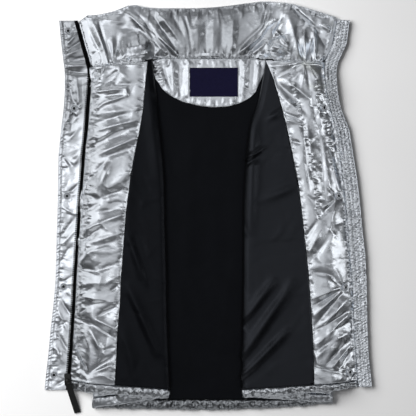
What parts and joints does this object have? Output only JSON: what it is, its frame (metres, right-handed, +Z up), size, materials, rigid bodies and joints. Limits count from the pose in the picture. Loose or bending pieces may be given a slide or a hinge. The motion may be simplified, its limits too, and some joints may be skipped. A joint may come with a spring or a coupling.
{
  "type": "puffer vest",
  "caption": "Silver padded sleeveless vest laid open and flat on its back, fronts turned back to show lining, facings, zip edge, snaps and stand collar.",
  "frame": {"origin": "centre of the box round the vest, on the surface that it lies on", "axes": "+Z up from the surface, +Y from the hem to the collar, +X towards the right edge as seen from above"},
  "size_m": [0.575, 0.7237, 0.0334],
  "materials": {
    "silver_cloth": "metallic silver coated nylon, glossy",
    "black_lining": "smooth woven polyester, slight sheen",
    "navy_label": "matt woven label",
    "black_zip": "black zip tape, coil, slider and tab",
    "snap_metal": "pressed ring snap"
  },
  "bodies": {
    "vest": {"back_lining": "black_lining", "back_shell": "silver_cloth", "collar_facing": "silver_cloth", "collar_shell": "silver_cloth", "front_left_facing": "silver_cloth", "front_left_lining": "black_lining", "front_left_shell": "silver_cloth", "front_right_facing": "silver_cloth", "front_right_lining": "black_lining", "front_right_shell": "silver_cloth", "hanger_loop": "silver_cloth", "hem_band_back": "silver_cloth", "hem_band_left": "silver_cloth", "hem_band_right": "silver_cloth", "label": "navy_label", "neck_facing": "silver_cloth", "slider_bridge": "black_zip", "snap_left_1": "snap_metal", "snap_left_2": "snap_metal", "snap_left_3": "snap_metal", "snap_left_4": "snap_metal", "snap_left_5": "snap_metal", "snap_right_1": "snap_metal", "snap_right_2": "snap_metal", "snap_right_3": "snap_metal", "snap_right_4": "snap_metal", "snap_right_5": "snap_metal", "storm_flap": "silver_cloth", "zip_chain_left": "black_zip", "zip_guard": "silver_cloth", "zip_slider": "black_zip", "zip_tape_left": "black_zip", "zip_tape_right": "black_zip"},
    "pull_tab": {"pull_tab": "black_zip"}
  },
  "joints": [
    {"name": "pull_tab_hinge", "type": "hinge", "parent": "vest", "child": "pull_tab", "pos_m": [-0.2468, -0.303, 0.0127], "axis": [-0.9588, -0.284, 0], "range_deg": [0, 140]}
  ]
}
